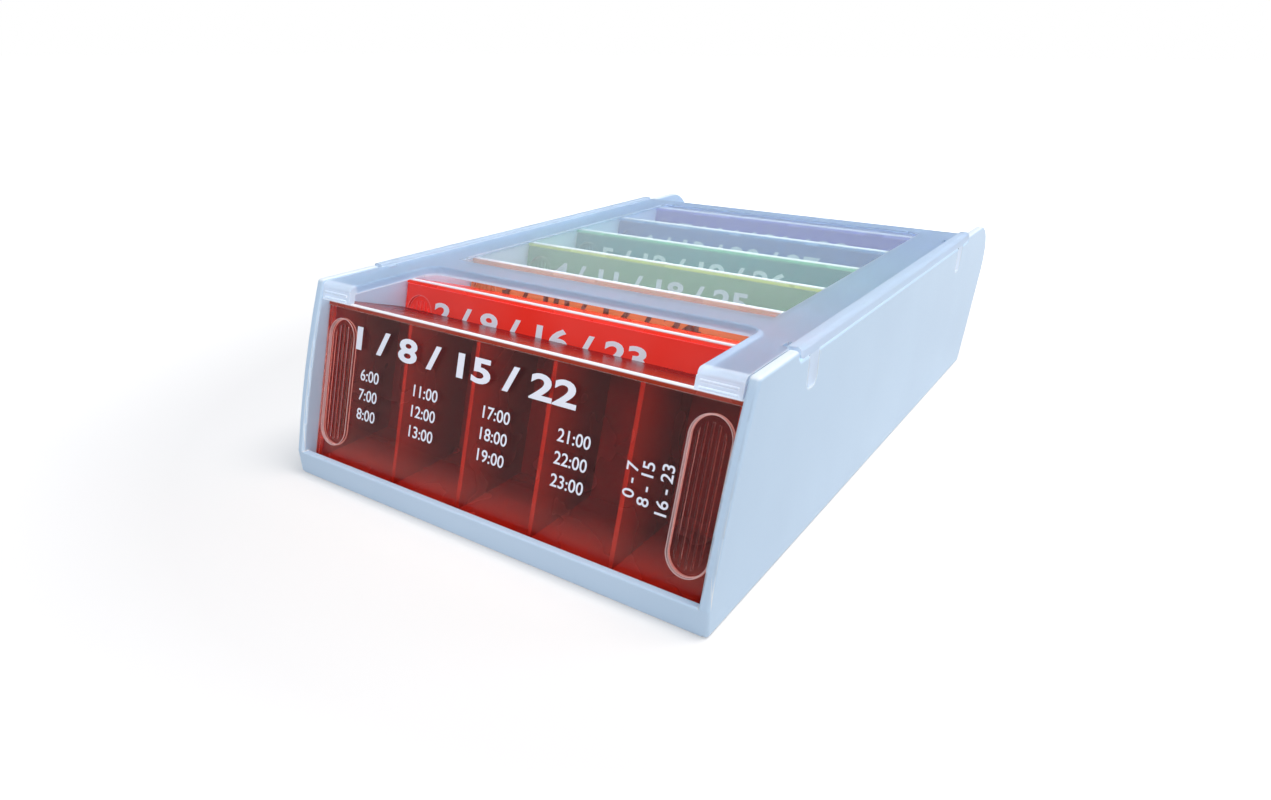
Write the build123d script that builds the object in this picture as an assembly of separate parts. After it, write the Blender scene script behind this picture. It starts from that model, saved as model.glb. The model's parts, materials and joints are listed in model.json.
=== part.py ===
from build123d import *
import math
import os

# Weekly pill organizer: a case with a clip-on lid and seven day cassettes that lean back in it.
# Millimetres. X is the width, Y runs from the front lip to the rear, Z is up.
# The pieces are drawn with Y = 0 at the outer face of the front lip, then centred.

# ---- Cassettes (one tray and one cover for each day) ----
day_count = 7
lean_angle = 18.5            # backward lean of the cassettes and of the rear wall, degrees
cassette_length = 119.2      # along X
cassette_depth = 24.6        # front of the cover to the back of the tray, square to the lean
cassette_height = 43.8       # along the lean, bottom front edge to top front edge
tray_wall = 1.4              # top, bottom, back and end walls
tray_radius = 0.45           # rounded long edges of a tray, all but its front foot
divider_wall = 1.1
compartment_count = 5
first_compartment = 27.0     # the left compartment is the widest
cover_thickness = 1.6
cover_front_gap = 0.15       # the cover lies this far behind the tray's front rim
cover_gap = 0.15             # clearance round the cover in its tray
tongue_thickness = 0.6       # guide tongues along the cover's long edges
tongue_height = 0.7
grip_width = 9.4             # ribbed thumb recess at each end of a cover
grip_length = 33.0
grip_inset = 5.6             # grip's centre line to the end of the cover
grip_rise = 23.0             # grip's centre above the bottom front edge, along the lean
grip_recess = 0.7
grip_rib_count = 5
grip_rib_width = 0.45
grip_rib_height = 0.35
grip_rim = 1.5               # plain band between the recess's outline and its ribs

# ---- Case ----
wall = 2.5
floor_thickness = 2.2
side_gap = 0.4               # cassette end to side wall
cassette_gap = 0.2           # between neighbouring cassettes, square to the lean
floor_gap = 0.3              # cassette bottom above the floor
front_gap = 0.3              # front cassette to the lip, at the floor
rear_gap = 0.5
headroom = 2.95              # lid's underside above the cassettes' top edges
lip_height = 6.4
lip_thickness = 2.0
front_edge_setback = 15.6    # top front corner behind the lip's outer face
front_edge_bulge = 0.9       # above the lip, the front edges bow forward by this much
rear_wall_rise = 0.8         # rear wall above the rear cassette's top rear edge
ear_drop = 1.0               # the rear ears stand this far below the top front corners
ear_radius = 13.0            # rounded top rear corners
edge_radius = 0.8            # rounded outer edges
inner_edge_radius = 0.7      # rounded inner edges along the tops of the side walls
lip_radius = 0.5

# ---- Rail seats and snap recesses in the side walls ----
rail_start = 33.5            # front end of the lowered wall top
rail_end_gap = 0.5           # from the rear end of the lowered wall top to the crest
seat_drop = 2.4              # wall top lowered by this much under the rails
seat_radius = 1.1            # rounded corners at the front ends of the rail seats
rear_seat_radius = 0.4       # rounded inner corners at their rear ends
ear_front_radius = 0.9       # rounded outer corners there, where the ears begin
snap_tab_width = 4.8
snap_tab_length = 7.6        # how far a tab reaches below the rail
snap_tab_thickness = 1.1
snap_tab_radius = 1.9        # rounded lower corners of the tabs
snap_front_inset = 7.5       # front end of a rail to the centre of its front tab
snap_rear_inset = 9.5        # rear end of a rail to the centre of its rear tab
snap_gap = 0.2

# ---- Lid ----
lid_thickness = 1.6
lid_rise = 0.4               # rails stand this far above the case
plate_drop = 0.4             # the lid's plate lies this far below the top of the case
lid_gap = 0.3                # lid to case, all round
rail_gap = 0.15              # rail to its seat, vertically
rail_overlap = 0.3           # rails run this far in over the edge of the plate
rail_radius = 1.1            # outer top edge of the rails
rail_inner_radius = 0.4      # inner top edge of the rails
lid_front = 43.3             # front edge of the lid between its arms
crest_lead = 4.6             # the lid's top turns down this far before the rear cassette's top edge
arm_width = 10.2
arm_notch_radius = 3.5       # inner corners between the arms and the cross flange
lid_edge_radius = 0.5        # rounded top edges of the lid's front and arms
arm_nose_radius = 1.5        # arms roll over into their curls
flange_thickness = 1.3
cross_flange_gap = 2.0       # cross flange above the cassettes' top edges
arm_flange_drop = 0.5        # the flange under the arms' inner edges, below the plate
curl_drop = 4.2              # ribbed curl at the front of each arm, below the lid's top
curl_thickness = 1.6
curl_gap = 0.5               # curl to the front cassette
curl_rib_count = 2
curl_rib_pitch = 1.3
curl_rib_size = 0.6
curl_rib_inset = 1.0         # rib's end to the side of the arm
window_front_border = 8.2    # front edge of the lid to the clear window
window_rear_border = 6.5     # clear window to the crest
window_half_width = 48.5
window_radius = 5.0
window_recess = 0.35
pin_slot_length = 3.0        # small moulding slots in the lid over the snap tabs
pin_slot_width = 1.1
pin_slot_inset = 1.0         # from the side edge of the lid's plate
pin_slot_lead = 4.5          # slot's centre before the centre of its tab

# ---- Worked out from the sizes above ----
lean = math.radians(lean_angle)
sin_lean, cos_lean, tan_lean = math.sin(lean), math.cos(lean), math.tan(lean)
inner_width = cassette_length + 2 * side_gap
case_width = inner_width + 2 * wall
cassette_pitch = (cassette_depth + cassette_gap) / cos_lean
base_z = floor_thickness + floor_gap
first_front = lip_thickness + front_gap
cassette_run = day_count * cassette_pitch - cassette_gap / cos_lean
case_length = lip_thickness + front_gap + cassette_run + rear_gap + wall / cos_lean
cassette_top = base_z + cassette_height * cos_lean
cassette_back_top = cassette_top - cassette_depth * sin_lean
rear_wall_height = cassette_back_top + rear_wall_rise
lid_bottom = cassette_top + headroom
lid_top = lid_bottom + lid_thickness
case_height = lid_top + plate_drop   # side walls at the front corners
rail_top = case_height + lid_rise
seat_z = case_height - seat_drop
cross_flange_bottom = cassette_top + cross_flange_gap
ear_top = case_height - ear_drop
ear_centre_z = ear_top - ear_radius
ear_centre_y = case_length + (ear_centre_z * sin_lean - ear_radius) / cos_lean
overall_depth = ear_centre_y + ear_radius
rear_cassette_front = first_front + (day_count - 1) * cassette_pitch
crest = rear_cassette_front + cassette_height * sin_lean - crest_lead
rail_end = crest - rail_end_gap
snap_centres = (rail_start + snap_front_inset, rail_end - snap_rear_inset)
inner_half = inner_width / 2
lid_half = inner_half - lid_gap
case_half = case_width / 2
centring = Pos(0, -overall_depth / 2, 0)
BIG = 1000.0                 # longer than anything that is cut
OVER = 1.0                   # cuts and joined pieces run past a face by this much
TOUCH = 0.01                 # points closer than this are the same


def profile(points):
    """A closed face in the YZ plane through (y, z) points."""
    with BuildSketch(Plane.YZ) as sketch:
        with BuildLine():
            Polyline(*points, close=True)
        make_face()
    return sketch.sketch


def across(face, x_from, x_to):
    """Extrude a YZ face from one X to another."""
    return Pos(x_from, 0, 0) * extrude(face, amount=x_to - x_from, dir=(1, 0, 0))


def block(x_from, x_to, y_from, y_to, z_from, z_to):
    size = (x_to - x_from, y_to - y_from, z_to - z_from)
    centre = Pos((x_from + x_to) / 2, (y_from + y_to) / 2, (z_from + z_to) / 2)
    return centre * Box(*size)


def both_sides(solid):
    """A piece and its mirror image in X."""
    return solid + mirror(solid, about=Plane.YZ)


# ---- Case ----

def side_outline():
    """Outline of the side walls: bowed front edge, lowered rail seat, rounded rear ear."""
    top = case_height
    front_arc_mid = (front_edge_setback / 2 - front_edge_bulge, (top + lip_height) / 2)
    ear_end = (ear_centre_y + ear_radius * cos_lean, ear_centre_z - ear_radius * sin_lean)
    ear_mid_angle = (math.pi / 2 - lean) / 2
    ear_mid = (
        ear_centre_y + ear_radius * math.cos(ear_mid_angle),
        ear_centre_z + ear_radius * math.sin(ear_mid_angle),
    )
    with BuildSketch(Plane.YZ) as sketch:
        with BuildLine():
            Line((0, 0), (0, lip_height))
            ThreePointArc((0, lip_height), front_arc_mid, (front_edge_setback, top))
            Polyline(
                (front_edge_setback, top),
                (rail_start, top),
                (rail_start, seat_z),
                (rail_end, seat_z),
                (rail_end, ear_top),
                (ear_centre_y, ear_top),
            )
            ThreePointArc((ear_centre_y, ear_top), ear_mid, ear_end)
            Polyline(ear_end, (case_length, 0), (0, 0))
        make_face()
        seats = sketch.vertices().filter_by(lambda v: v.Y > seat_z - TOUCH)
        fillet(seats.filter_by(lambda v: v.X < rail_start + TOUCH), radius=seat_radius)
        seat_end = sketch.vertices().filter_by(lambda v: abs(v.X - rail_end) < TOUCH).sort_by(Axis.Y)
        fillet(seat_end[0], radius=rear_seat_radius)
        ear_start = sketch.vertices().filter_by(lambda v: abs(v.X - rail_end) < TOUCH).sort_by(Axis.Y)
        fillet(ear_start[-1], radius=ear_front_radius)
        feet = sketch.vertices().filter_by(lambda v: v.Y < TOUCH)
        fillet(feet, radius=edge_radius)
    return sketch.sketch


def side_wall():
    """The right side wall, with its rounded edges."""
    solid = across(side_outline(), inner_half, case_half)
    outer = solid.faces().sort_by(Axis.X)[-1]
    solid = fillet(outer.edges(), radius=edge_radius)
    inner = solid.faces().sort_by(Axis.X)[0]
    upper = [e for e in inner.edges() if e.center().Z > rear_wall_height + OVER]
    return fillet(upper, radius=inner_edge_radius)


def snap_recess(y_centre):
    """Pocket in the outer face of the right wall that takes a snap tab of the lid."""
    half = snap_tab_width / 2 + snap_gap
    bottom = seat_z - snap_tab_length - snap_gap
    depth = snap_tab_thickness + snap_gap
    pocket = block(
        case_half - depth, case_half + OVER, y_centre - half, y_centre + half,
        bottom, case_height + OVER,
    )
    lower = pocket.edges().filter_by(Axis.X).group_by(Axis.Z)[0]
    return fillet(lower, radius=snap_tab_radius)


def make_case():
    walls = both_sides(side_wall())
    reach = inner_half + wall / 2
    floor = block(-reach, reach, lip_thickness / 2, case_length - wall / 2, 0, floor_thickness)
    lip = block(-reach, reach, 0, lip_thickness, 0, lip_height)
    lip_edges = lip.edges().filter_by(Axis.X).group_by(Axis.Z)
    lip_foot = lip_edges[0].sort_by(Axis.Y)[0]
    lip = fillet(lip_edges[-1] + [lip_foot], radius=lip_radius)
    rear_run = wall / cos_lean
    rear = profile([
        (case_length - rear_run, 0),
        (case_length, 0),
        (case_length + rear_wall_height * tan_lean, rear_wall_height),
        (case_length - rear_run + rear_wall_height * tan_lean, rear_wall_height),
    ])
    rear_wall = across(rear, -reach, reach) & across(side_outline(), -reach, reach)
    case = walls + floor + lip + rear_wall
    for y_centre in snap_centres:
        case -= both_sides(snap_recess(y_centre))
    return case


# ---- Cassettes ----

def lean_point(front, depth, rise):
    """(y, z) of a point in a cassette: depth behind its front plane, rise along the lean."""
    return (front + depth * cos_lean + rise * sin_lean, base_z - depth * sin_lean + rise * cos_lean)


def level_point(front, depth, z):
    """(y, z) of a point in a cassette: depth behind its front plane, at the height z."""
    return lean_point(front, depth, (z - base_z + depth * sin_lean) / cos_lean)


def section(front, depth_from, depth_to, z_bottom, rise_top):
    """Slanted section with a level bottom and a top square to the lean."""
    return profile([
        level_point(front, depth_from, z_bottom),
        level_point(front, depth_to, z_bottom),
        lean_point(front, depth_to, rise_top),
        lean_point(front, depth_from, rise_top),
    ])


def compartments():
    """The X range of each compartment, left to right."""
    free = cassette_length - 2 * tray_wall - (compartment_count - 1) * divider_wall
    others = (free - first_compartment) / (compartment_count - 1)
    start = -cassette_length / 2 + tray_wall
    ranges = []
    for index in range(compartment_count):
        width = first_compartment if index == 0 else others
        ranges.append((start, start + width))
        start += width + divider_wall
    return ranges


cover_back = cover_front_gap + cover_thickness
cover_bay_back = cover_back + cover_gap
inner_rise = cassette_height - tray_wall
inner_floor = base_z + tray_wall
tongue_front = cover_front_gap + (cover_thickness - tongue_thickness) / 2
tongue_back = tongue_front + tongue_thickness


def make_tray(front):
    half = cassette_length / 2
    tray = across(section(front, 0, cassette_depth, base_z, cassette_height), -half, half)
    long_edges = tray.edges().filter_by(Axis.X).sort_by(Axis.Y)
    tray = fillet(long_edges[1:], radius=tray_radius)
    inner_depth = cassette_depth - tray_wall
    bay = section(front, -OVER, cover_bay_back, inner_floor, inner_rise)
    tray -= across(bay, -half - OVER, half + OVER)
    groove = section(
        front, tongue_front - cover_gap, tongue_back + cover_gap,
        inner_floor - tongue_height - cover_gap, inner_rise + tongue_height + cover_gap,
    )
    tray -= across(groove, -half - OVER, half + OVER)
    pocket = section(front, 0, inner_depth, inner_floor, inner_rise)
    for x_from, x_to in compartments():
        tray -= across(pocket, x_from, x_to)
    return tray


def grip_cut(x_centre):
    """Ribbed thumb recess, drawn flat: X across, Y along the lean, Z out of the cover."""
    outline = SlotOverall(grip_length, grip_width, rotation=90)
    outline = extrude(outline, amount=2 * grip_recess, both=True)
    inner = SlotOverall(grip_length - 2 * grip_rim, grip_width - 2 * grip_rim, rotation=90)
    rib_zone = extrude(inner, amount=grip_rib_height)
    rib_span = grip_width - 2 * grip_rim - grip_rib_width
    rib_pitch = rib_span / (grip_rib_count - 1) if grip_rib_count > 1 else 0
    ribs = None
    for index in range(grip_rib_count):
        x = -rib_span / 2 + index * rib_pitch
        bar = Pos(x, 0, grip_rib_height / 2) * Box(grip_rib_width, grip_length, grip_rib_height)
        rib = bar & rib_zone
        ribs = rib if ribs is None else ribs + rib
    floor_level = Pos(0, 0, -grip_recess)
    pocket = block(-grip_width, grip_width, -grip_length, grip_length, -grip_recess, BIG / 100) & outline
    return Pos(x_centre, 0, 0) * (pocket - floor_level * ribs)


def make_cover(front):
    half = cassette_length / 2 - cover_gap
    plate = section(front, cover_front_gap, cover_back, inner_floor + cover_gap, inner_rise - cover_gap)
    tongue = section(
        front, tongue_front, tongue_back,
        inner_floor - tongue_height + cover_gap, inner_rise + tongue_height - cover_gap,
    )
    cover = across(plate, -half, half) + across(tongue, -half, half)
    y, z = lean_point(front, cover_front_gap, grip_rise)
    face_plane = Plane(
        origin=(0, y, z),
        x_dir=(1, 0, 0),
        z_dir=(0, -cos_lean, sin_lean),
    )
    for side in (-1, 1):
        cover -= face_plane * grip_cut(side * (half - grip_inset))
    return cover


# ---- Lid ----

def lid_plate():
    """The lid's flat plate with its two arms, which roll over at the front."""
    arm_inner = lid_half - arm_width
    plate = block(-lid_half, lid_half, arm_front(), crest, lid_bottom, lid_top)
    nose = plate.edges().filter_by(Axis.X).group_by(Axis.Z)[-1].sort_by(Axis.Y)[0]
    plate = fillet(nose, radius=arm_nose_radius)
    notch = block(-arm_inner, arm_inner, -BIG, lid_front, lid_bottom - OVER, lid_top + OVER)
    notch_corners = notch.edges().filter_by(Axis.Z).group_by(Axis.Y)[-1]
    plate -= fillet(notch_corners, radius=arm_notch_radius)
    rim = [
        e for e in plate.edges()
        if e.center().Z > lid_top - lid_edge_radius / 2 and abs(e.center().X) < lid_half - OVER
        and arm_front() + arm_nose_radius < e.center().Y < crest - OVER
    ]
    return fillet(rim, radius=lid_edge_radius)


def arm_front():
    """Y of the front of the arms: the outer face of the curls, where the arms roll over into them."""
    return level_point(first_front, -curl_gap - curl_thickness, lid_top - arm_nose_radius)[0]


def rail():
    """Right-hand side rail, lying on the lowered wall top."""
    bottom = seat_z + rail_gap
    solid = block(
        lid_half - rail_overlap, case_half, rail_start + lid_gap, rail_end - lid_gap, bottom, rail_top,
    )
    front_foot, rear_foot = solid.edges().filter_by(Axis.X).group_by(Axis.Z)[0].sort_by(Axis.Y)
    solid = fillet(front_foot, radius=seat_radius + lid_gap)
    rear_foot = solid.edges().filter_by(Axis.X).group_by(Axis.Z)[0].sort_by(Axis.Y)[-1]
    solid = fillet(rear_foot, radius=rear_seat_radius + lid_gap)
    tops = solid.edges().filter_by(Axis.Y).group_by(Axis.Z)[-1].sort_by(Axis.X)
    solid = fillet(tops[-1], radius=rail_radius)
    inner_top = solid.edges().filter_by(Axis.Y).group_by(Axis.Z)[-1].sort_by(Axis.X)[0]
    return fillet(inner_top, radius=rail_inner_radius)


def snap_tab(y_centre):
    """Right-hand snap tab, hanging from the rail in the wall's recess."""
    half = snap_tab_width / 2
    top = seat_z + rail_gap + snap_tab_thickness
    bottom = seat_z - snap_tab_length
    tab = block(case_half - snap_tab_thickness, case_half, y_centre - half, y_centre + half, bottom, top)
    lower = tab.edges().filter_by(Axis.X).group_by(Axis.Z)[0]
    return fillet(lower, radius=snap_tab_radius)


def curl():
    """Ribbed curl that hangs from the front of the right arm, over the front cassette's top edge."""
    front = first_front
    depth_back = -curl_gap
    depth_front = -curl_gap - curl_thickness
    bottom_z = lid_top - curl_drop
    nose_z = lid_top - arm_nose_radius
    face = profile([
        level_point(front, depth_front, bottom_z),
        level_point(front, depth_back, bottom_z),
        level_point(front, depth_back, nose_z),
        level_point(front, depth_front, nose_z),
    ])
    solid = across(face, lid_half - arm_width, lid_half)
    rib_length = arm_width - 2 * curl_rib_inset
    for index in range(curl_rib_count):
        z = bottom_z + curl_rib_size + index * curl_rib_pitch
        y, z = level_point(front, depth_front, z)
        rod = Pos((2 * lid_half - arm_width) / 2, y, z) * Rot(0, 90, 0)
        solid += rod * Cylinder(curl_rib_size / 2, rib_length)
    return solid


def cross_flange():
    """Down-turned flange along the lid's front edge between the arms, and along the arms' inner edges."""
    arm_inner = lid_half - arm_width
    outer = block(
        -arm_inner - flange_thickness, arm_inner + flange_thickness, -BIG, lid_front + flange_thickness,
        cross_flange_bottom, lid_bottom + lid_thickness / 2,
    )
    inner = block(-arm_inner, arm_inner, -2 * BIG, lid_front, 0, BIG)
    outer_corners = outer.edges().filter_by(Axis.Z).group_by(Axis.Y)[-1]
    inner_corners = inner.edges().filter_by(Axis.Z).group_by(Axis.Y)[-1]
    ring = fillet(outer_corners, radius=arm_notch_radius + flange_thickness)
    ring -= fillet(inner_corners, radius=arm_notch_radius)
    ring -= block(-BIG, BIG, -2 * BIG, arm_front() + curl_thickness, 0, BIG)
    shallow = block(
        -BIG, BIG, -BIG, lid_front - arm_notch_radius,
        0, lid_bottom - arm_flange_drop,
    )
    return ring - shallow


def rear_panel():
    """Panel that slopes down from the crest to just above the rear wall, between the ears."""
    upright = lid_thickness / cos_lean
    end_top = rear_wall_height + lid_gap + upright
    rear_end = ear_centre_y + math.sqrt(ear_radius ** 2 - (end_top - ear_centre_z) ** 2)
    face = profile([
        (crest - OVER, lid_top),
        (crest, lid_top),
        (rear_end, end_top),
        (rear_end, end_top - upright),
        (crest, lid_top - upright),
        (crest - OVER, lid_top - upright),
    ])
    return across(face, -lid_half, lid_half)


def make_lid():
    lid = lid_plate() + both_sides(rail()) + both_sides(curl()) + cross_flange() + rear_panel()
    for y_centre in snap_centres:
        lid += both_sides(snap_tab(y_centre))
    window = block(
        -window_half_width, window_half_width, lid_front + window_front_border, crest - window_rear_border,
        lid_top - window_recess, lid_top + OVER,
    )
    lid -= fillet(window.edges().filter_by(Axis.Z), radius=window_radius)
    slot_outer = lid_half - pin_slot_inset
    for y_centre in snap_centres:
        y_start = y_centre - pin_slot_lead - pin_slot_length / 2
        slot = block(
            slot_outer - pin_slot_width, slot_outer, y_start, y_start + pin_slot_length,
            lid_bottom - OVER, lid_top + OVER,
        )
        lid -= both_sides(slot)
    return lid


# ---- Write the pieces ----

def write(name, solid):
    placed = centring * solid
    placed.label = name
    export_step(placed, os.path.join("parts", name + ".step"))
    box = placed.bounding_box()
    print(f"{name}: {len(placed.solids())} solid, {box.size.X:.1f} x {box.size.Y:.1f} x {box.size.Z:.1f}")


os.makedirs("parts", exist_ok=True)
write("case", make_case())
write("lid", make_lid())
for day in range(1, day_count + 1):
    day_front = first_front + (day - 1) * cassette_pitch
    write(f"tray_{day}", make_tray(day_front))
    write(f"cover_{day}", make_cover(day_front))
print(f"case length {case_length:.2f}, overall depth {overall_depth:.2f}, pitch {cassette_pitch:.3f}")
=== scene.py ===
import json
import math

import bpy
from mathutils import Matrix, Vector


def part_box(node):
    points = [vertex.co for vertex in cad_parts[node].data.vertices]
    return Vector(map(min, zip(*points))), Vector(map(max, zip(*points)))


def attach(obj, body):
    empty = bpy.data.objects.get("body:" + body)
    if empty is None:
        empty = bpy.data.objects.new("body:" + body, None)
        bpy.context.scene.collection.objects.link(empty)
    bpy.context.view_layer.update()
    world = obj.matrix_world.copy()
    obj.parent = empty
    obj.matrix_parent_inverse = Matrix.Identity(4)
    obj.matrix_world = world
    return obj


# Looks for the weekly pill organizer. Everything is in metres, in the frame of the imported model.
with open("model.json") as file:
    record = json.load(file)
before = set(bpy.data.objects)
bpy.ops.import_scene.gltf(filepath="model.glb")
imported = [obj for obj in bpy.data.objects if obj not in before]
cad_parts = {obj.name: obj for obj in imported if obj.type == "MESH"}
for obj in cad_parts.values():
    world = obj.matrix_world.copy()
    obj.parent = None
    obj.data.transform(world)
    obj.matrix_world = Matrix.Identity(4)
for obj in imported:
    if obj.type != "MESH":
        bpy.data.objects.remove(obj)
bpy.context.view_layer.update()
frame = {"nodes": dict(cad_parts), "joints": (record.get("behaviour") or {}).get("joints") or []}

MM = 0.001
DAYS = 7
IMAGE_WIDTH, IMAGE_HEIGHT = 1271, 800

# The cassettes' lean is the direction in which they are drawn out of the case.
lift = next(j for j in frame["joints"] if j["name"] == "cassette_1_lift")
SIN_LEAN, COS_LEAN = lift["axis"][1], lift["axis"][2]


# ---- Small helpers for node materials ----

BEVEL_SAMPLES = 6


class Shader:
    """A new node material, with short calls to add and join nodes."""

    def __init__(self, name):
        self.material = bpy.data.materials.new(name)
        self.material.use_nodes = True
        self.tree = self.material.node_tree
        self.tree.nodes.clear()
        self.output = self.add("ShaderNodeOutputMaterial")

    def add(self, kind, inputs=None, **settings):
        node = self.tree.nodes.new(kind)
        for key, value in settings.items():
            setattr(node, key, value)
        for key, value in (inputs or {}).items():
            self.set(node, key, value)
        return node

    def set(self, node, key, value):
        """Give an input a value, or join it to another node's output."""
        socket = node.inputs[key]
        if isinstance(value, bpy.types.NodeSocket):
            self.tree.links.new(value, socket)
        elif isinstance(value, bpy.types.Node):
            self.tree.links.new(value.outputs[0], socket)
        else:
            socket.default_value = value

    def math(self, operation, a, b=0.0):
        return self.add("ShaderNodeMath", {0: a, 1: b}, operation=operation)

    def times(self, a, b):
        return self.math("MULTIPLY", a, b)

    def split(self, vector):
        """The X, Y and Z outputs of a vector, by name."""
        return self.add("ShaderNodeSeparateXYZ", {0: vector}).outputs

    def along(self, start, direction):
        """How far a point of the piece lies from a start point, along a unit direction."""
        inputs = {0: self.position(), 1: start}
        offset = self.add("ShaderNodeVectorMath", inputs, operation="SUBTRACT")
        inputs = {0: offset.outputs[0], 1: direction}
        return self.add("ShaderNodeVectorMath", inputs, operation="DOT_PRODUCT").outputs["Value"]

    def between(self, factor, low, high):
        """From low to high as the factor goes from 0 to 1."""
        inputs = {"Value": factor, "To Min": low, "To Max": high}
        return self.add("ShaderNodeMapRange", inputs).outputs[0]

    def position(self):
        """The point's place on its piece, in metres, which stays with the piece when it moves."""
        return self.add("ShaderNodeTexCoord").outputs["Object"]

    def noise(self, scale, detail=2.0):
        inputs = {"Vector": self.position(), "Scale": scale, "Detail": detail, "Roughness": 0.5}
        return self.add("ShaderNodeTexNoise", inputs).outputs["Fac"]

    def ramp(self, value, low, high):
        """value, stretched so that low gives 0 and high gives 1."""
        inputs = {"Value": value, "From Min": low, "From Max": high}
        return self.add("ShaderNodeMapRange", inputs, clamp=True, interpolation_type="SMOOTHSTEP")

    def mix_colour(self, factor, a, b):
        node = self.add("ShaderNodeMix", data_type="RGBA")
        self.set(node, 0, factor)
        self.set(node, 6, a)
        self.set(node, 7, b)
        return node.outputs[2]

    def rounded(self, radius):
        """The normals of the piece with its edges rounded."""
        return self.add("ShaderNodeBevel", {"Radius": radius}, samples=BEVEL_SAMPLES)

    def edges(self, radius):
        """1 along the piece's edges and 0 on its flat faces."""
        bevel = self.rounded(radius)
        normal = self.add("ShaderNodeNewGeometry").outputs["True Normal"]
        dot = self.add("ShaderNodeVectorMath", {0: bevel, 1: normal}, operation="DOT_PRODUCT")
        away = self.math("SUBTRACT", 1.0, dot.outputs["Value"])
        return self.ramp(away, 0.02, 0.25)

    def bump(self, height, distance, strength=1.0, normal=None):
        inputs = {"Height": height, "Distance": distance, "Strength": strength}
        if normal is not None:
            inputs["Normal"] = normal
        return self.add("ShaderNodeBump", inputs)

    def let_lamps_through(self, shader, tint):
        """Rays from lamps pass the surface with this tint, so that they reach what is behind it."""
        clear = self.add("ShaderNodeBsdfTransparent", {"Color": tint})
        shadow = self.add("ShaderNodeLightPath").outputs["Is Shadow Ray"]
        return self.add("ShaderNodeMixShader", {0: shadow, 1: shader, 2: clear})

    def finish(self, shader):
        self.set(self.output, "Surface", shader)
        return self.material


def rgb(red, green, blue, alpha=1.0):
    return (red, green, blue, alpha)


def lighter(colour, amount):
    """A colour moved towards white."""
    return tuple(c + (1.0 - c) * amount for c in colour[:3]) + (1.0,)


# ---- Materials ----

GRAIN_SCALE = 2600.0         # fine moulded grain, per metre
CLOUD_SCALE = 28.0           # slow change of tone over a face, per metre
SINK_SCALE = 70.0            # shallow waves of a moulded face, per metre

CASE_TONES = (rgb(0.56, 0.70, 0.845), rgb(0.585, 0.73, 0.875))
CASE_HIGHLIGHT = rgb(1.0, 0.985, 0.96)       # painted highlight on edges and wall tops
CASE_HIGHLIGHT_EDGE = 1.1 * MM                   # width of the painted highlight band along an edge
CASE_BEVEL = 0.35 * MM
WALL_TOP_HIGHLIGHT_FULL = 1.2 * MM               # painted highlight is full down to here, from the walls' highest point
WALL_TOP_HIGHLIGHT_END = 2.6 * MM                # and not at all from here down

TRAY_CLEARNESS = 0.30
TRAY_SHADE_DEPTH = (1.0 * MM, 20.0 * MM)     # behind the front: no painted shade yet, and full painted shade
RIM_LOW, RIM_HIGH = 0.60 * MM, 0.30 * MM     # below the top: the painted highlight on the edge starts, and is full
RIM_FULL, RIM_DEEP = 0.5 * MM, 0.9 * MM      # behind the front: it is full, and has ended

# These four repeat the solids' sizes: a changed thumb recess needs them changed too.
GRIP_ACROSS = 53.85 * MM     # middle of a cover's thumb recess, from the middle of the cover
GRIP_RISE = 23.0 * MM        # the same, up from the tray's foot along the lean
GRIP_LENGTH = 33.0 * MM
GRIP_WIDTH = 9.4 * MM
GRIP_HIGHLIGHT_FULL = 0.12 * MM   # half the width of the painted highlight line round the recess, at full strength
GRIP_HIGHLIGHT_END = 0.30 * MM    # and where it has faded
RIBS_START = -0.6 * MM       # inside the outline the painted edge highlights fade, so that the ribs are faint
RIBS_FULL = -1.2 * MM        # and this far inside they have faded
# width of the painted highlight along a cover's edges
COVER_HIGHLIGHT_EDGE = 0.25 * MM

LID_FROST = rgb(0.50, 0.63, 0.78)
LID_WINDOW = rgb(0.80, 0.90, 0.96)
LID_THICK = rgb(0.78, 0.86, 0.96)
LID_LAMP_TINT = rgb(0.94, 0.96, 0.98)
WINDOW_SOFT = 0.4 * MM       # width over which the frost gives way to the polished window
# width of the painted highlight along the lid's edges
LID_HIGHLIGHT_EDGE = 0.5 * MM
HANGING_FROM = 2.5 * MM      # parts of the lid below this, from its top, hang under the plate
HANGING_FULL = 2.9 * MM
RAIL_START = 3.4 * MM        # side rails, from the lid's side
RAIL_FULL = 3.1 * MM
NOSE_START = 3.6 * MM        # noses of the arms, from the lid's front
NOSE_FULL = 2.8 * MM
CREST_START = 31.0 * MM      # the sloped rear panel, from the lid's rear
CREST_FULL = 32.0 * MM


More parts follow.
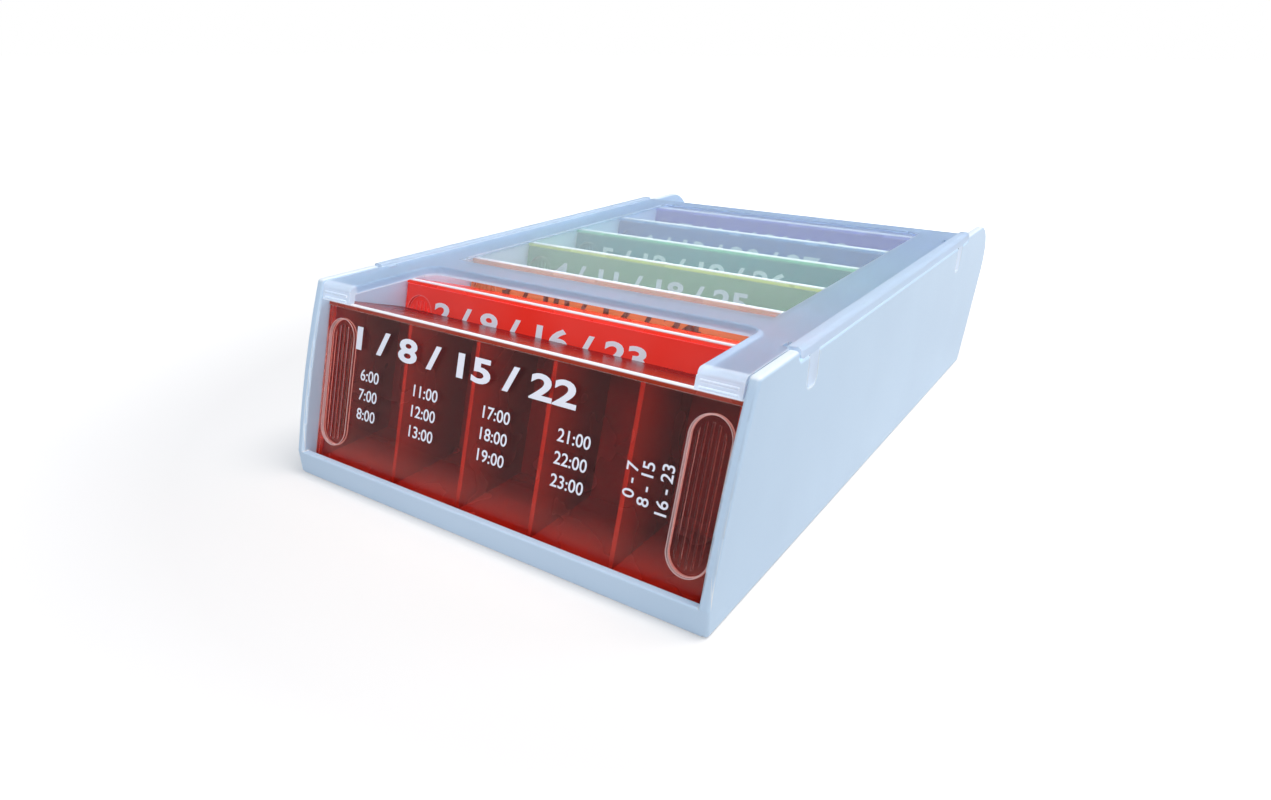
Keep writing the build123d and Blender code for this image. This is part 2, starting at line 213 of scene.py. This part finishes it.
def case_material():
    """Pale blue-white satin plastic with a fine moulded grain, and a painted highlight on its edges
    and upward-facing wall tops.
    """
    s = Shader("case_white")
    cloud = s.ramp(s.noise(CLOUD_SCALE), 0.3, 0.7)
    colour = s.mix_colour(cloud, *CASE_TONES)
    _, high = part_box("case")
    height = s.split(s.position())["Z"]
    near_top = s.ramp(height, high.z - WALL_TOP_HIGHLIGHT_END, high.z - WALL_TOP_HIGHLIGHT_FULL)
    upright = s.split(s.add("ShaderNodeNewGeometry").outputs["True Normal"])["Z"]
    wall_top_highlight = s.times(near_top, s.ramp(upright, 0.3, 0.8))
    # Painted highlight: the edges and the upward-facing wall tops are lightened towards near white.
    lit = s.math("MAXIMUM", s.times(s.edges(CASE_HIGHLIGHT_EDGE), 0.9), s.times(wall_top_highlight, 0.7))
    colour = s.mix_colour(lit, colour, CASE_HIGHLIGHT)
    grain = s.noise(GRAIN_SCALE, detail=3.0)
    body = s.add("ShaderNodeBsdfPrincipled", {
        "Base Color": colour,
        "Roughness": s.between(s.ramp(grain, 0.2, 0.8), 0.30, 0.42),
        "IOR": 1.46,
        "Normal": s.bump(grain, 0.01 * MM, 0.25, s.rounded(CASE_BEVEL)),
    })
    return s.finish(body)


def tray_depth(s, day):
    """How far a point lies behind the tray's front plane, in metres, square to the lean."""
    low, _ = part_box(f"tray_{day}")
    return s.along(Vector((0, low.y, low.z)), Vector((0, COS_LEAN, -SIN_LEAN)))


def rim_highlight(s, day):
    """1 along the tray's top front edge, where a painted highlight makes the plastic nearly white.
    """
    _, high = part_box(f"tray_{day}")
    height = s.split(s.position())["Z"]
    near_top = s.ramp(height, high.z - RIM_LOW, high.z - RIM_HIGH)
    near_front = s.ramp(tray_depth(s, day), RIM_DEEP, RIM_FULL)
    return s.times(near_top, near_front)


def tray_material(day, rim_colour, deep_shade, tint):
    """Translucent tinted plastic, with a painted highlight where its walls end at the front and
    painted shade that darkens it towards the back of its compartments.
    """
    s = Shader(f"tray_tint_{day}")
    depth = s.ramp(tray_depth(s, day), *TRAY_SHADE_DEPTH)
    cloud = s.ramp(s.noise(CLOUD_SCALE * 2), 0.3, 0.7)
    rim = s.mix_colour(cloud, rim_colour, lighter(rim_colour, 0.05))
    # Painted shade: the tray goes from its rim colour at the front to a darker shade colour towards
    # the back.
    tone = s.mix_colour(depth, rim, deep_shade)
    # Painted highlight: the top front edge is made nearly white and opaque.
    lit = rim_highlight(s, day)
    tone = s.mix_colour(lit, tone, lighter(rim_colour, 0.96))
    body = s.add("ShaderNodeBsdfPrincipled", {
        "Base Color": tone,
        "Roughness": s.between(cloud, 0.22, 0.30),
        "IOR": 1.36,
        "Specular IOR Level": 0.25,
        "Transmission Weight": s.between(lit, TRAY_CLEARNESS, 0.0),
        "Normal": s.bump(s.noise(SINK_SCALE), 0.05 * MM, 0.3),
    })
    return s.finish(s.let_lamps_through(body, tint))


def grip_distance(s, day):
    """How far a point of a cover lies outside the outline of its thumb recess, in metres."""
    low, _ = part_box(f"tray_{day}")
    rise = s.along(Vector((0, low.y, low.z)), Vector((0, SIN_LEAN, COS_LEAN)))
    from_middle = s.math("ABSOLUTE", s.math("SUBTRACT", rise, GRIP_RISE))
    straight = (GRIP_LENGTH - GRIP_WIDTH) / 2
    past_end = s.math("MAXIMUM", s.math("SUBTRACT", from_middle, straight), 0.0)
    x = s.split(s.position())["X"]
    aside = s.math("SUBTRACT", s.math("ABSOLUTE", x), GRIP_ACROSS)
    squares = s.math("ADD", s.times(past_end, past_end), s.times(aside, aside))
    return s.math("SUBTRACT", s.math("SQRT", squares), GRIP_WIDTH / 2)


def cover_material(day, colour, clearness, tint):
    """Polished plastic with a tint of the day's colour, from milky to clear, with painted
    highlights along its edges and round its thumb recesses.
    """
    s = Shader(f"cover_tint_{day}")
    cloud = s.ramp(s.noise(CLOUD_SCALE), 0.3, 0.7)
    tone = s.mix_colour(cloud, colour, lighter(colour, 0.04))
    distance = grip_distance(s, day)
    outline = s.ramp(s.math("ABSOLUTE", distance), GRIP_HIGHLIGHT_END, GRIP_HIGHLIGHT_FULL)
    plain = s.ramp(distance, RIBS_FULL, RIBS_START)
    strength = s.math("ADD", s.times(plain, 0.45), 0.25)
    # Painted highlight: the edges and the thumb recess outline are lightened and made less clear.
    edge = s.times(s.edges(COVER_HIGHLIGHT_EDGE), strength)
    edge = s.math("MAXIMUM", edge, s.times(outline, 0.15 + 0.65 * clearness))
    tone = s.mix_colour(edge, tone, lighter(colour, 0.6))
    body = s.add("ShaderNodeBsdfPrincipled", {
        "Base Color": tone,
        "Roughness": s.between(cloud, 0.015, 0.03),
        "IOR": 1.32,
        "Specular IOR Level": 0.14,
        "Transmission Weight": s.between(edge, clearness, clearness * 0.3),
        "Normal": s.bump(s.noise(SINK_SCALE), 0.01 * MM, 0.2),
    })
    return s.finish(s.let_lamps_through(body, tint))


def window_mask(s, half_width, front, rear):
    """1 in the lid's clear window and 0 on its frosted border, by the place on the lid."""
    place = s.split(s.position())
    inside = s.ramp(s.math("ABSOLUTE", place["X"]), half_width, half_width - WINDOW_SOFT)
    behind = s.ramp(place["Y"], front, front + WINDOW_SOFT)
    before = s.ramp(place["Y"], rear, rear - WINDOW_SOFT)
    return s.times(s.times(inside, behind), before)


def thick_mask(s, low, high):
    """1 where the lid is thick and milky: its curls, flanges, snap tabs and side rails."""
    place = s.split(s.position())
    hanging = s.ramp(place["Z"], high.z - HANGING_FROM, high.z - HANGING_FULL)
    rails = s.ramp(s.math("ABSOLUTE", place["X"]), high.x - RAIL_START, high.x - RAIL_FULL)
    noses = s.ramp(place["Y"], low.y + NOSE_START, low.y + NOSE_FULL)
    before_crest = s.ramp(place["Y"], high.y - CREST_START, high.y - CREST_FULL)
    thick = s.math("MAXIMUM", s.times(hanging, before_crest), s.times(rails, 0.55))
    return s.math("MAXIMUM", thick, noses)


def lid_material(half_width, front, rear):
    """Clear plastic, frosted round a polished window, milky where it is thick, with a painted
    highlight that whitens its edges.
    """
    s = Shader("lid_clear")
    thick = thick_mask(s, *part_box("lid"))
    window = window_mask(s, half_width, front, rear)
    grain = s.noise(GRAIN_SCALE, detail=3.0)
    colour = s.mix_colour(window, LID_FROST, LID_WINDOW)
    colour = s.mix_colour(thick, colour, LID_THICK)
    # Painted highlight: the lid's edges are whitened and made less clear.
    edge = s.edges(LID_HIGHLIGHT_EDGE)
    clear = s.math("ADD", s.times(window, 0.29), 0.70)
    clear = s.math("SUBTRACT", clear, s.times(edge, 0.35))
    clear = s.math("SUBTRACT", clear, s.times(thick, 0.36))
    colour = s.mix_colour(s.times(edge, 0.6), colour, rgb(1.0, 1.0, 1.0))
    frost = s.math("SUBTRACT", 1.0, window)
    body = s.add("ShaderNodeBsdfPrincipled", {
        "Base Color": colour,
        "Roughness": s.between(window, 0.34, 0.02),
        "IOR": 1.28,
        "Specular IOR Level": 0.30,
        "Transmission Weight": clear,
        "Normal": s.bump(s.times(grain, frost), 0.02 * MM, 0.3),
    })
    return s.finish(s.let_lamps_through(body, LID_LAMP_TINT))


INK_CLOUD_SCALE = 900.0      # per metre
INK_GRAIN_SCALE = 3000.0


def print_material(name, colour):
    """Screen-printed ink, slightly uneven."""
    s = Shader(name)
    cloud = s.ramp(s.noise(INK_CLOUD_SCALE), 0.35, 0.65)
    tone = s.mix_colour(cloud, colour, lighter(colour, 0.08))
    normal = s.bump(s.noise(INK_GRAIN_SCALE), 0.01 * MM, 0.3)
    inputs = {"Base Color": tone, "Roughness": 0.45, "Normal": normal}
    return s.finish(s.add("ShaderNodeBsdfPrincipled", inputs))


WHITE_INK = rgb(0.86, 0.86, 0.93)
PALE_INK = rgb(0.40, 0.52, 0.57)
DARK_INK = rgb(0.10, 0.035, 0.02)
# For each day: its tray at the front rims, its tray's painted shade colour further in, its cover,
# and how clear that is.
DAY_COLOURS = [
    (rgb(0.43, 0.040, 0.010), rgb(0.14, 0.009, 0.014), rgb(0.92, 0.42, 0.36), 1.0),
    (rgb(1.00, 0.060, 0.020), rgb(0.95, 0.040, 0.015), rgb(1.00, 0.035, 0.018), 0.05),
    (rgb(0.62, 0.300, 0.120), rgb(0.56, 0.200, 0.080), rgb(0.62, 0.240, 0.100), 0.12),
    (rgb(0.56, 0.720, 0.100), rgb(0.20, 0.420, 0.120), rgb(0.14, 0.340, 0.180), 0.25),
    (rgb(0.12, 0.600, 0.380), rgb(0.03, 0.260, 0.220), rgb(0.03, 0.240, 0.260), 0.25),
    (rgb(0.08, 0.340, 0.700), rgb(0.03, 0.140, 0.420), rgb(0.03, 0.150, 0.420), 0.25),
    (rgb(0.16, 0.200, 0.760), rgb(0.08, 0.080, 0.460), rgb(0.07, 0.090, 0.520), 0.25),
]
DAY_INKS = [WHITE_INK, WHITE_INK, DARK_INK, PALE_INK, PALE_INK, PALE_INK, PALE_INK]


# ---- Printed numbers on the covers ----

CAPITAL_SHARE = 0.72                   # a figure's height as a share of the font's size
INK_HALF_THICKNESS = 0.02 * MM


def glyphs(text, height, bold):
    """A flat text mesh round the origin, thickened by bold."""
    curve = bpy.data.curves.new("glyphs", "FONT")
    curve.body = text
    curve.size = height / CAPITAL_SHARE
    curve.offset = bold
    curve.align_x = "CENTER"
    curve.align_y = "CENTER"
    curve.extrude = INK_HALF_THICKNESS
    curve.resolution_u = 4
    holder = bpy.data.objects.new("glyphs", curve)
    bpy.context.scene.collection.objects.link(holder)
    bpy.context.view_layer.update()
    depsgraph = bpy.context.evaluated_depsgraph_get()
    mesh = bpy.data.meshes.new_from_object(holder.evaluated_get(depsgraph))
    bpy.data.objects.remove(holder)
    return mesh


def placed(x_axis, y_axis, z_axis, origin):
    """The matrix with these axes and this origin."""
    matrix = Matrix.Identity(4)
    for column, axis in enumerate((x_axis, y_axis, z_axis, origin)):
        for row in range(3):
            matrix[row][column] = axis[row]
    return matrix


def cover_plane(day, out):
    """The matrix of a cover's face: X across, Y up the lean from the tray's foot, Z outwards."""
    low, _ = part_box(f"tray_{day}")
    outwards = Vector((0, -COS_LEAN, SIN_LEAN))
    origin = Vector((0, low.y, low.z)) + outwards * out
    return placed(Vector((1, 0, 0)), Vector((0, SIN_LEAN, COS_LEAN)), outwards, origin)


COVER_FRONT_GAP = 0.15 * MM            # a cover's face lies this far behind the tray's front
INK_RISE = 0.01 * MM
HEADER = (-13.0 * MM, 35.8 * MM)       # centre, across and up the cover
HEADER_HEIGHT = 5.6 * MM
HEADER_WIDTH = 70.0 * MM
HEADER_BOLD = 0.22 * MM
LABEL_HEIGHT = 2.9 * MM
LABEL_BOLD = 0.04 * MM
LABEL_LINES = (27.0 * MM, 22.0 * MM, 17.0 * MM)
LABEL_COLUMNS = {                      # centre of each compartment's label and its lines
    -41.8 * MM: ("6:00", "7:00", "8:00"),
    -21.9 * MM: ("11:00", "12:00", "13:00"),
    0.8 * MM: ("17:00", "18:00", "19:00"),
    22.8 * MM: ("21:00", "22:00", "23:00"),
}
SPARE_LABEL = {38.2 * MM: "0 - 7", 41.9 * MM: "8 - 15", 46.4 * MM: "16 - 23"}     # read upwards
SPARE_CENTRE = 22.4 * MM


def place_text(text, x, rise, height, bold, turn=0.0, width=None):
    """A text mesh on a cover's plane, centred at (x, rise)."""
    mesh = glyphs(text, height, bold)
    xs = [v.co.x for v in mesh.vertices]
    ys = [v.co.y for v in mesh.vertices]
    centre = Vector(((min(xs) + max(xs)) / 2, (min(ys) + max(ys)) / 2, 0))
    stretch = width / (max(xs) - min(xs)) if width else 1.0
    move = Matrix.Translation((x, rise, 0)) @ Matrix.Rotation(turn, 4, "Z")
    move = move @ Matrix.Diagonal((stretch, 1, 1, 1)) @ Matrix.Translation(-centre)
    mesh.transform(move)
    return mesh


def joined(meshes, name):
    """One mesh object from several meshes."""
    verts, faces = [], []
    for mesh in meshes:
        start = len(verts)
        verts += [tuple(v.co) for v in mesh.vertices]
        faces += [tuple(start + i for i in p.vertices) for p in mesh.polygons]
        bpy.data.meshes.remove(mesh)
    data = bpy.data.meshes.new(name)
    data.from_pydata(verts, [], faces)
    data.validate()
    piece = bpy.data.objects.new(name, data)
    bpy.context.scene.collection.objects.link(piece)
    return piece


def print_cover(day, ink):
    """The numbers on one cover: dates of the month over times of day."""
    dates = " / ".join(str(day + 7 * week) for week in range(4))
    texts = [place_text(dates, *HEADER, HEADER_HEIGHT, HEADER_BOLD, width=HEADER_WIDTH)]
    for x, lines in LABEL_COLUMNS.items():
        for line, rise in zip(lines, LABEL_LINES):
            texts.append(place_text(line, x, rise, LABEL_HEIGHT, LABEL_BOLD))
    for x, line in SPARE_LABEL.items():
        label = place_text(line, x, SPARE_CENTRE, LABEL_HEIGHT, LABEL_BOLD, turn=math.pi / 2)
        texts.append(label)
    piece = joined(texts, f"print_{day}")
    piece.data.transform(cover_plane(day, INK_RISE - COVER_FRONT_GAP))
    piece.data.materials.append(ink)
    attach(piece, f"cassette_{day}")


# ---- Surroundings ----

SENSOR_WIDTH = 36.0          # of the scene's camera, in its own millimetres
CAMERA = {
    "focal": 792.95,         # pixels of the photograph's frame
    "yaw": -33.37,           # degrees, turned to the left of +Y
    "pitch": 27.85,          # degrees below the horizon
    "roll": 0.20,
    "centre": (640.6, 468.1),
    "place": (117.65, -107.36, 100.98),    # mm, from the middle of the front lip's foot
}


def make_camera():
    """The photograph's camera."""
    yaw = math.radians(CAMERA["yaw"])
    pitch = math.radians(CAMERA["pitch"])
    roll = math.radians(CAMERA["roll"])
    forward = Vector((
        math.sin(yaw) * math.cos(pitch),
        math.cos(yaw) * math.cos(pitch),
        -math.sin(pitch),
    ))
    right = Vector((math.cos(yaw), -math.sin(yaw), 0))
    up = right.cross(forward)
    right, up = (
        right * math.cos(roll) + up * math.sin(roll),
        up * math.cos(roll) - right * math.sin(roll),
    )
    data = bpy.data.cameras.new("camera")
    data.sensor_fit = "HORIZONTAL"
    data.sensor_width = SENSOR_WIDTH
    data.lens = CAMERA["focal"] / IMAGE_WIDTH * data.sensor_width
    data.shift_x = (IMAGE_WIDTH / 2 - CAMERA["centre"][0]) / IMAGE_WIDTH
    data.shift_y = (CAMERA["centre"][1] - IMAGE_HEIGHT / 2) / IMAGE_WIDTH
    data.clip_start = 0.01
    camera = bpy.data.objects.new("camera", data)
    low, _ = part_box("case")
    place = Vector(CAMERA["place"]) * MM + Vector((0, low.y, 0))
    camera.matrix_world = placed(right, up, -forward, place)
    bpy.context.scene.collection.objects.link(camera)
    bpy.context.scene.camera = camera


GLOSS_SHARE = 0.30           # reflections see the white background this strongly
AMBIENT = (0.34, 0.41, 0.50, 1)


def seen_white(tree):
    """How white the background is: 1 for rays from the camera and through glass, less in gloss."""
    path = tree.nodes.new("ShaderNodeLightPath")
    gloss = tree.nodes.new("ShaderNodeMath")
    gloss.operation = "MULTIPLY"
    tree.links.new(path.outputs["Is Glossy Ray"], gloss.inputs[0])
    gloss.inputs[1].default_value = GLOSS_SHARE
    total = path.outputs["Is Camera Ray"]
    for seen in (gloss.outputs[0], path.outputs["Is Transmission Ray"]):
        node = tree.nodes.new("ShaderNodeMath")
        node.operation = "MAXIMUM"
        tree.links.new(total, node.inputs[0])
        tree.links.new(seen, node.inputs[1])
        total = node.outputs[0]
    return total


def make_world():
    """A background that is seen as white and lights the part in a dim pale blue."""
    world = bpy.data.worlds.new("studio")
    bpy.context.scene.world = world
    world.use_nodes = True
    tree = world.node_tree
    background = tree.nodes["Background"]
    colour = tree.nodes.new("ShaderNodeMix")
    colour.data_type = "RGBA"
    tree.links.new(seen_white(tree), colour.inputs[0])
    colour.inputs[6].default_value = AMBIENT
    colour.inputs[7].default_value = (1, 1, 1, 1)
    tree.links.new(colour.outputs[2], background.inputs["Color"])
    background.inputs["Strength"].default_value = 1.0


FLOOR_HALF = 12.0            # metres
FLOOR_DROP = 0.05 * MM       # below the part, so that the two faces don't fight
FLOOR_COLOUR = rgb(0.75, 0.70, 0.66)
GLOW_DISTANCE = (0.15, 0.38)       # metres from the middle
GLOW_LEVEL = (0.27, 0.82)


def make_floor():
    """A floor that glows more the further it is, so that only the contact shadow stays."""
    size = FLOOR_HALF
    data = bpy.data.meshes.new("floor")
    corners = [(-size, -size, 0), (size, -size, 0), (size, size, 0), (-size, size, 0)]
    data.from_pydata(corners, [], [(0, 1, 2, 3)])
    floor = bpy.data.objects.new("floor", data)
    floor.location.z = -FLOOR_DROP
    bpy.context.scene.collection.objects.link(floor)
    s = Shader("floor_white")
    body = s.add("ShaderNodeBsdfDiffuse", {"Color": FLOOR_COLOUR})
    away = s.add("ShaderNodeVectorMath", {0: s.position()}, operation="LENGTH")
    level = s.add("ShaderNodeMapRange", {
        "Value": away.outputs["Value"],
        "From Min": GLOW_DISTANCE[0],
        "From Max": GLOW_DISTANCE[1],
        "To Min": GLOW_LEVEL[0],
        "To Max": GLOW_LEVEL[1],
    })
    glow = s.add("ShaderNodeEmission", {"Color": rgb(1, 1, 1)})
    s.set(glow, "Strength", s.times(seen_white(s.tree), level.outputs[0]))
    both = s.add("ShaderNodeAddShader", {0: body, 1: glow})
    data.materials.append(s.finish(both))


def aim(name, data, place, target, watts, colour):
    """A lamp at a place, turned to a target."""
    data.energy = watts
    data.color = colour
    light = bpy.data.objects.new(name, data)
    light.location = place
    direction = Vector(target) - Vector(place)
    light.rotation_euler = direction.to_track_quat("-Z", "Y").to_euler()
    bpy.context.scene.collection.objects.link(light)


def area_light(name, place, target, size, watts, colour):
    data = bpy.data.lights.new(name, "AREA")
    data.shape = "DISK"
    data.size = size
    aim(name, data, place, target, watts, colour)


def spot_light(name, place, target, angle, watts, colour):
    data = bpy.data.lights.new(name, "SPOT")
    data.spot_size = math.radians(angle)
    data.spot_blend = 1.0
    data.shadow_soft_size = 0.05
    aim(name, data, place, target, watts, colour)


def make_lights():
    cool, warm = (0.95, 0.98, 1.0), (1.0, 0.93, 0.90)
    area_light("overhead", (0.34, 0.22, 1.15), (0, 0, 0), 0.7, 8.8, (1.0, 0.99, 0.975))
    area_light("front", (0.35, -0.95, 0.6), (0, 0, 0.02), 0.6, 1.7, cool)
    spot_light("notch", (0.10, -0.60, 0.38), (0.0, -0.075, 0.047), 17.0, 4.4, warm)
    area_light("rear_right", (0.42, 0.26, 0.22), (0.06, 0.09, 0.03), 0.25, 0.46, cool)


# ---- Dress the model ----

def dress(node, material):
    """Give every slot of a CAD node its material."""
    for slot in frame["nodes"][node].material_slots:
        slot.material = material


make_camera()
make_world()
make_floor()
make_lights()

WINDOW_HALF_WIDTH = 48.5 * MM
WINDOW_FRONT = 51.5 * MM     # from the case's front
WINDOW_REAR = 162.0 * MM

case_low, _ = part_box("case")
dress("case", case_material())
dress("lid", lid_material(WINDOW_HALF_WIDTH, case_low.y + WINDOW_FRONT, case_low.y + WINDOW_REAR))
inks = {}
for day in range(1, DAYS + 1):
    rim, deep_shade, face, clearness = DAY_COLOURS[day - 1]
    dress(f"tray_{day}", tray_material(day, rim, deep_shade, lighter(rim, 0.25)))
    dress(f"cover_{day}", cover_material(day, face, clearness, lighter(face, 0.5)))
    ink_colour = DAY_INKS[day - 1]
    if ink_colour not in inks:
        inks[ink_colour] = print_material(f"ink_{len(inks) + 1}", ink_colour)
    print_cover(day, inks[ink_colour])

bpy.context.scene.view_settings.view_transform = "Standard"
